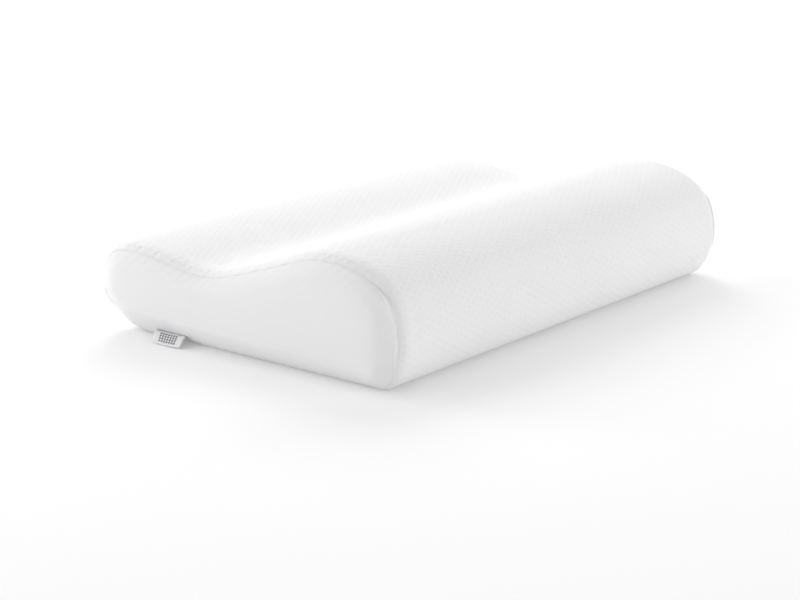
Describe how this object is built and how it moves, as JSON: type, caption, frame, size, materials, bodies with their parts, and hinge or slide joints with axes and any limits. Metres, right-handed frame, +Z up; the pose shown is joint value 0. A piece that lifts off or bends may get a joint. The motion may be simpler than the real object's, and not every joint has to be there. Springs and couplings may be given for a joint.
{
  "type": "contoured neck-support pillow",
  "caption": "Contoured foam neck pillow with a high and a low lobe, in a dimpled white knitted cover with a rear coil zip.",
  "frame": {"origin": "on the floor, under the middle of the pillow's base", "axes": "+X along the pillow's length, -Y faces the high lobe's long side, +Y faces the low lobe and the zip, +Z up"},
  "size_m": [0.5089, 0.3339, 0.1045],
  "materials": {
    "foam": "matte",
    "liner_jersey": "matte",
    "knit": "matte",
    "side_knit": "matte",
    "base_knit": "matte",
    "seam_thread": "satin",
    "zip_tape": "matte",
    "zip_nylon": "satin",
    "zip_metal": "satin",
    "label_satin": "satin"
  },
  "bodies": {
    "pillow": {"foam_core": "foam", "liner_sleeve": "liner_jersey", "liner_end_left": "liner_jersey", "liner_end_right": "liner_jersey", "cover_wrap": "knit", "cover_end_left": "side_knit", "cover_end_right": "side_knit", "cover_base": "base_knit", "end_seam_left": "seam_thread", "end_seam_right": "seam_thread", "base_seam": "seam_thread", "zip_tape_upper": "zip_tape", "zip_tape_lower": "zip_tape", "zip_coil_upper": "zip_nylon", "zip_coil_lower": "zip_nylon", "zip_top_stops": "zip_metal", "zip_bottom_stop": "zip_metal", "zip_stitching": "seam_thread", "side_label": "label_satin"},
    "slider": {"zip_slider": "zip_metal"},
    "pull": {"zip_pull": "zip_metal"}
  },
  "joints": [
    {"name": "zip_slide", "type": "slide", "parent": "pillow", "child": "slider", "axis": [1, 0, 0], "range_m": [0, 0.433]},
    {"name": "pull_flip", "type": "hinge", "parent": "slider", "child": "pull", "pos_m": [-0.2166, 0.16715, 0.0422], "axis": [0, 0, 1], "range_deg": [0, 180]}
  ]
}
